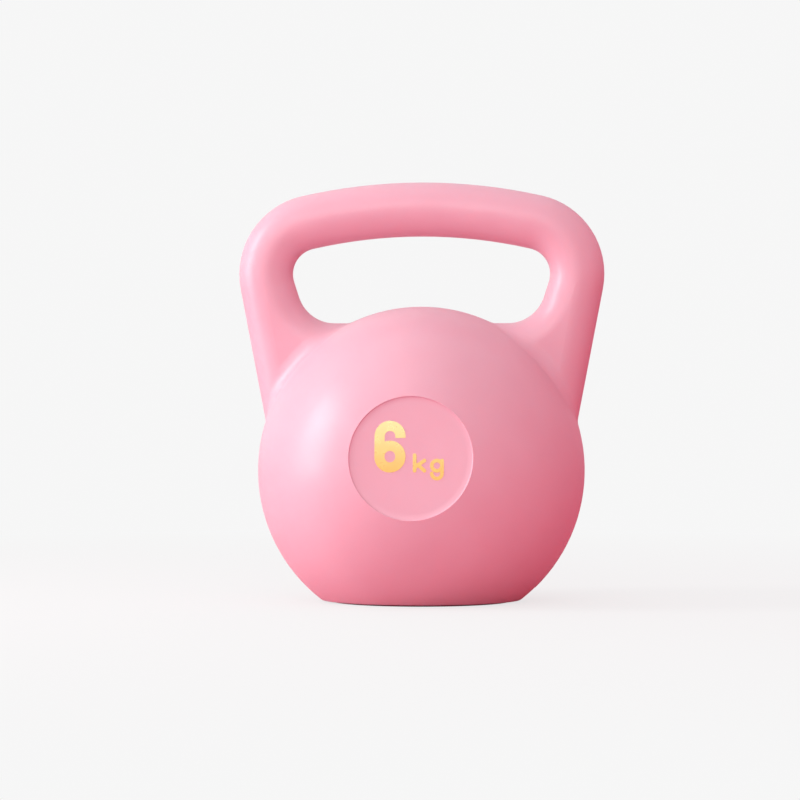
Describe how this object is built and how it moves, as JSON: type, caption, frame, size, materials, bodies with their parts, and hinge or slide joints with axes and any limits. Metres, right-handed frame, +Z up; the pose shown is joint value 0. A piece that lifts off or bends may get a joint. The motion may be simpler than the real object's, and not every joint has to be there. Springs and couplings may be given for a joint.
{
  "type": "kettlebell",
  "caption": "Round kettlebell with a wide flared handle, a round label recess in front and behind, and a flat padded base.",
  "frame": {"origin": "on the floor under the middle of the bell", "axes": "+Z up, X along the grip, the weight mark faces -Y"},
  "size_m": [0.1858, 0.1596, 0.2128],
  "materials": {
    "shell_vinyl": "satin pink, fine moulded grain",
    "cast_core": "cured cement with iron sand",
    "rod_steel": "plain drawn bar",
    "plug_plastic": "moulded, matt",
    "adhesive_film": "double-sided film",
    "pad_rubber": "dark maroon, matt",
    "gold_foil": "hot-stamped satin gold foil, pale at the top"
  },
  "bodies": {
    "root": {"shell": "shell_vinyl", "ballast_fill": "cast_core", "handle_rod": "rod_steel", "fill_plug": "plug_plastic", "pad_adhesive": "adhesive_film", "base_pad": "pad_rubber", "weight_numeral": "gold_foil", "weight_unit": "gold_foil"}
  },
  "joints": []
}
